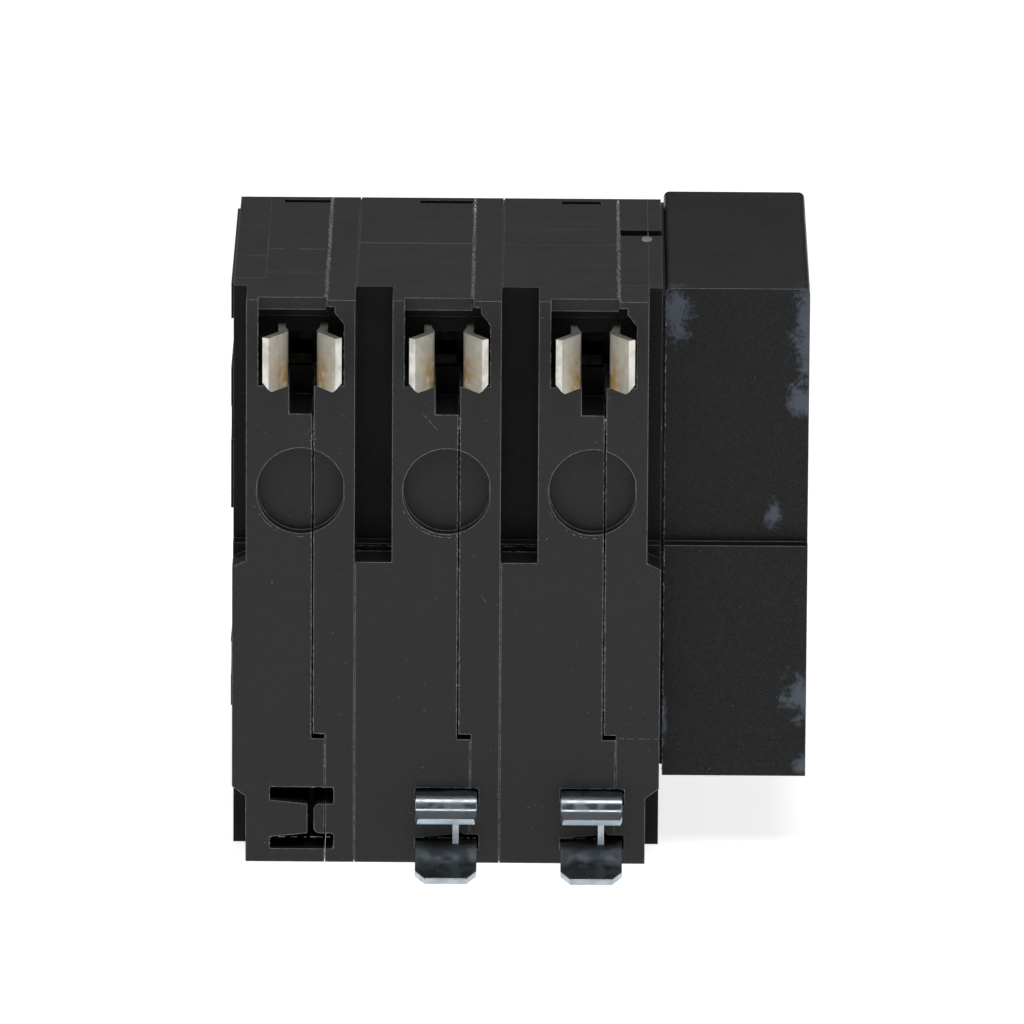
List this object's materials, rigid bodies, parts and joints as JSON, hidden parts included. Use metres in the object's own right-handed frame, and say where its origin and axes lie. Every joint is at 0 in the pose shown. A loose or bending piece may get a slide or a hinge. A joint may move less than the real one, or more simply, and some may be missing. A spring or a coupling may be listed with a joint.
{
  "type": "molded case circuit breaker",
  "caption": "Three-pole plug-on circuit breaker with a shunt-trip module beside it: moulded case halves, line jaws, rail hooks, tied handles and a full trip mechanism inside.",
  "frame": {"origin": "centre of the footprint at the load end, which the breaker stands on", "axes": "+Z from the load end to the line end, -Y towards the mounting (back) face with the jaws and hooks, +Y towards the handle, +X to the module side"},
  "size_m": [0.0756, 0.0838, 0.0761],
  "materials": {
    "case_plastic": "dark charcoal moulded thermoset, fine matt texture",
    "module_plastic": "dark charcoal moulded plastic, slightly glossier, scuffed",
    "handle_plastic": "black moulded plastic",
    "tinned_copper": "tin plated spring copper, matt light grey with contact grease",
    "zinc_steel": "bright zinc plated steel sheet, bluish",
    "copper": "bare copper",
    "silver_contact": "silver alloy contact pad",
    "spring_steel": "drawn spring wire",
    "plain_steel": "zinc flashed mild steel",
    "bimetal": "rolled two-layer strip",
    "flag_red": "red moulded plastic with a black half",
    "tinned_lug": "tin plated lug",
    "plated_screw": "zinc plated",
    "clear_window": "clear polycarbonate lens",
    "inner_plastic": "natural phenolic and nylon mouldings",
    "enamelled_wire": "layers of enamelled copper wire",
    "brass": "brass screw clamp"
  },
  "bodies": {
    "case": {"pole_1_base": "case_plastic", "pole_1_cover": "case_plastic", "pole_1_line_jaw": "tinned_copper", "pole_1_load_lug": "tinned_lug", "pole_2_base": "case_plastic", "pole_2_cover": "case_plastic", "pole_2_line_jaw": "tinned_copper", "pole_2_load_lug": "tinned_lug", "pole_3_base": "case_plastic", "pole_3_cover": "case_plastic", "pole_3_line_jaw": "tinned_copper", "pole_3_load_lug": "tinned_lug", "mounting_hook_2": "zinc_steel", "mounting_hook_3": "zinc_steel", "fixed_contact_tips": "silver_contact", "bimetals": "bimetal", "magnet_yokes": "plain_steel", "load_straps": "copper", "flexible_braids": "copper", "arc_plates": "plain_steel", "flag_windows": "clear_window", "pivot_pins": "plain_steel", "case_rivets": "plated_screw", "module_cover": "module_plastic", "module_base": "module_plastic", "coil_bobbin": "inner_plastic", "coil_winding": "enamelled_wire", "solenoid_frame": "plain_steel", "plunger_spring": "spring_steel", "cutoff_switch": "inner_plastic", "terminal_clamps": "brass"},
    "handle_group": {"pole_1_handle": "handle_plastic", "pole_2_handle": "handle_plastic", "pole_3_handle": "handle_plastic", "handle_tie_bar": "handle_plastic", "pole_1_toggle_spring": "spring_steel", "pole_2_toggle_spring": "spring_steel", "pole_3_toggle_spring": "spring_steel"},
    "contact_arm_1": {"pole_1_contact_arm": "copper", "pole_1_moving_tip": "silver_contact"},
    "contact_arm_2": {"pole_2_contact_arm": "copper", "pole_2_moving_tip": "silver_contact"},
    "contact_arm_3": {"pole_3_contact_arm": "copper", "pole_3_moving_tip": "silver_contact"},
    "trip_bar": {"trip_bar": "inner_plastic"},
    "cradle_1": {"pole_1_cradle": "plain_steel"},
    "cradle_2": {"pole_2_cradle": "plain_steel"},
    "cradle_3": {"pole_3_cradle": "plain_steel"},
    "armature_1": {"pole_1_armature": "plain_steel"},
    "armature_2": {"pole_2_armature": "plain_steel"},
    "armature_3": {"pole_3_armature": "plain_steel"},
    "trip_flag_1": {"pole_1_trip_flag": "flag_red"},
    "trip_flag_2": {"pole_2_trip_flag": "flag_red"},
    "trip_flag_3": {"pole_3_trip_flag": "flag_red"},
    "lug_screw_1": {"pole_1_lug_screw": "plated_screw"},
    "lug_screw_2": {"pole_2_lug_screw": "plated_screw"},
    "lug_screw_3": {"pole_3_lug_screw": "plated_screw"},
    "terminal_screws": {"terminal_screws": "plated_screw"},
    "plunger": {"plunger": "plain_steel"},
    "switch_button": {"switch_button": "inner_plastic"}
  },
  "joints": [
    {"name": "handle_throw", "type": "hinge", "parent": "case", "child": "handle_group", "pos_m": [-0.00945, 0.01837, 0.04], "axis": [1, 0, 0], "range_deg": [0, 44], "deforming": ["pole_1_toggle_spring", "pole_2_toggle_spring", "pole_3_toggle_spring", "flexible_braids"]},
    {"name": "arm_1_swing", "type": "hinge", "parent": "case", "child": "contact_arm_1", "pos_m": [-0.02888, -0.00463, 0.04], "axis": [1, 0, 0], "range_deg": [-0.05, 24.05]},
    {"name": "arm_2_swing", "type": "hinge", "parent": "case", "child": "contact_arm_2", "pos_m": [-0.00983, -0.00463, 0.04], "axis": [1, 0, 0], "range_deg": [-0.05, 24.05]},
    {"name": "arm_3_swing", "type": "hinge", "parent": "case", "child": "contact_arm_3", "pos_m": [0.00923, -0.00463, 0.04], "axis": [1, 0, 0], "range_deg": [-0.05, 24.05]},
    {"name": "trip_bar_turn", "type": "hinge", "parent": "case", "child": "trip_bar", "pos_m": [-0.00945, -0.00713, 0.0155], "axis": [1, 0, 0], "range_deg": [0, 15], "stiffness_Nm_per_rad": 0.05},
    {"name": "cradle_1_release", "type": "hinge", "parent": "case", "child": "cradle_1", "pos_m": [-0.02888, 0.00437, 0.032], "axis": [1, 0, 0], "range_deg": [-18.05, 0.05]},
    {"name": "armature_1_pull", "type": "hinge", "parent": "case", "child": "armature_1", "pos_m": [-0.02888, -0.01493, 0.0375], "axis": [1, 0, 0], "range_deg": [-4.55, 0.05]},
    {"name": "flag_1_drop", "type": "slide", "parent": "case", "child": "trip_flag_1", "axis": [0, 0, -1], "range_m": [-0.00005, 0.00345]},
    {"name": "lug_screw_1_travel", "type": "slide", "parent": "case", "child": "lug_screw_1", "axis": [0, -1, 0], "range_m": [0, 0.005]},
    {"name": "cradle_2_release", "type": "hinge", "parent": "case", "child": "cradle_2", "pos_m": [-0.00983, 0.00437, 0.032], "axis": [1, 0, 0], "range_deg": [-18.05, 0.05]},
    {"name": "armature_2_pull", "type": "hinge", "parent": "case", "child": "armature_2", "pos_m": [-0.00983, -0.01493, 0.0375], "axis": [1, 0, 0], "range_deg": [-4.55, 0.05]},
    {"name": "flag_2_drop", "type": "slide", "parent": "case", "child": "trip_flag_2", "axis": [0, 0, -1], "range_m": [-0.00005, 0.00345]},
    {"name": "lug_screw_2_travel", "type": "slide", "parent": "case", "child": "lug_screw_2", "axis": [0, -1, 0], "range_m": [0, 0.005]},
    {"name": "cradle_3_release", "type": "hinge", "parent": "case", "child": "cradle_3", "pos_m": [0.00923, 0.00437, 0.032], "axis": [1, 0, 0], "range_deg": [-18.05, 0.05]},
    {"name": "armature_3_pull", "type": "hinge", "parent": "case", "child": "armature_3", "pos_m": [0.00923, -0.01493, 0.0375], "axis": [1, 0, 0], "range_deg": [-4.55, 0.05]},
    {"name": "flag_3_drop", "type": "slide", "parent": "case", "child": "trip_flag_3", "axis": [0, 0, -1], "range_m": [-0.00005, 0.00345]},
    {"name": "lug_screw_3_travel", "type": "slide", "parent": "case", "child": "lug_screw_3", "axis": [0, -1, 0], "range_m": [0, 0.005]},
    {"name": "terminal_screws_travel", "type": "slide", "parent": "case", "child": "terminal_screws", "axis": [0, -1, 0], "range_m": [0, 0.0024]},
    {"name": "plunger_pull", "type": "slide", "parent": "case", "child": "plunger", "axis": [0, 0, 1], "range_m": [-0.00005, 0.00212], "deforming": ["plunger_spring"]},
    {"name": "switch_button_press", "type": "slide", "parent": "case", "child": "switch_button", "axis": [0, 0, 1], "range_m": [-0.00005, 0.00212]}
  ],
  "couplings": [
    {"joint": "arm_1_swing", "follows": "handle_throw", "ratio": 0.54546},
    {"joint": "arm_2_swing", "follows": "handle_throw", "ratio": 0.54546},
    {"joint": "arm_3_swing", "follows": "handle_throw", "ratio": 0.54546},
    {"joint": "cradle_1_release", "follows": "trip_bar_turn", "ratio": -1.2},
    {"joint": "armature_1_pull", "follows": "trip_bar_turn", "ratio": -0.3},
    {"joint": "flag_1_drop", "follows": "trip_bar_turn", "m_per_rad": 0.012987},
    {"joint": "cradle_2_release", "follows": "trip_bar_turn", "ratio": -1.2},
    {"joint": "armature_2_pull", "follows": "trip_bar_turn", "ratio": -0.3},
    {"joint": "flag_2_drop", "follows": "trip_bar_turn", "m_per_rad": 0.012987},
    {"joint": "cradle_3_release", "follows": "trip_bar_turn", "ratio": -1.2},
    {"joint": "armature_3_pull", "follows": "trip_bar_turn", "ratio": -0.3},
    {"joint": "flag_3_drop", "follows": "trip_bar_turn", "m_per_rad": 0.012987},
    {"joint": "plunger_pull", "follows": "trip_bar_turn", "m_per_rad": 0.0079089},
    {"joint": "switch_button_press", "follows": "trip_bar_turn", "m_per_rad": 0.0079089}
  ]
}
